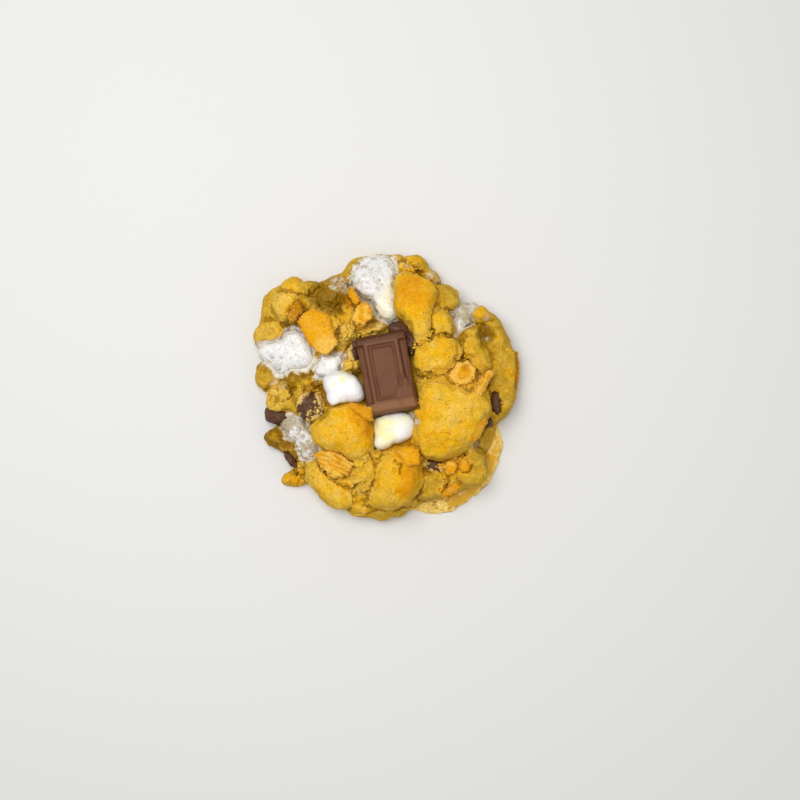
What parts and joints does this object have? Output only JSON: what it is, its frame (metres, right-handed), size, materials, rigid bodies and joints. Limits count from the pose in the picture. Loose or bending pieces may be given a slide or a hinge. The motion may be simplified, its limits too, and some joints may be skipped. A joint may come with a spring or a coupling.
{
  "type": "smores cookie",
  "caption": "Thick round baked cookie with rugged dough boulders, a moulded chocolate bar piece, marshmallow, chocolate chips and broken cracker pressed in, flat below.",
  "frame": {"origin": "middle of the cookie's outer box, on the flat underside", "axes": "+Z up, through the thickness; +X to the right and +Y up as the cookie is seen from above with the bar piece nearly upright and its lower end turned to the right"},
  "size_m": [0.1054, 0.1066, 0.0299],
  "materials": {
    "dough": "baked dough, golden yellow, toasted orange on the high places, fine crumb",
    "chocolate": "milk chocolate, moulded, satin",
    "dark_chocolate": "chocolate chip, baked, dull satin",
    "cracker": "graham cracker, toasted orange, grainy",
    "marshmallow": "marshmallow, soft white with cream patches",
    "melted_marshmallow": "melted marshmallow, foamy with open bubbles",
    "run_marshmallow": "melted marshmallow that ran out at the foot, glossy, cream to amber"
  },
  "bodies": {
    "root": {"dough": "dough", "bar_piece": "chocolate", "chip_crumbed": "dark_chocolate", "chip_in_shadow": "dark_chocolate", "chip_left_edge": "dark_chocolate", "chip_left_of_bar": "dark_chocolate", "chip_lower_left": "dark_chocolate", "chip_right_edge": "dark_chocolate", "chip_right_small": "dark_chocolate", "chip_under_boulder": "dark_chocolate", "chunk_behind_bar": "dark_chocolate", "cracker_bottom_left": "cracker", "cracker_bottom_right": "cracker", "cracker_bottom_sliver": "cracker", "cracker_left": "cracker", "cracker_left_small": "cracker", "cracker_lower_left": "cracker", "cracker_on_bottom_boulder": "cracker", "cracker_on_left_boulder": "cracker", "cracker_right": "cracker", "cracker_right_on_edge": "cracker", "cracker_rim": "cracker", "cracker_top": "cracker", "cracker_top_sliver": "cracker", "cracker_wedge": "cracker", "mallow_bottom": "marshmallow", "mallow_left": "marshmallow", "melt_centre": "melted_marshmallow", "melt_foot": "run_marshmallow", "melt_left": "melted_marshmallow", "melt_lower_left": "melted_marshmallow", "melt_right": "melted_marshmallow", "melt_top": "melted_marshmallow"}
  },
  "joints": []
}
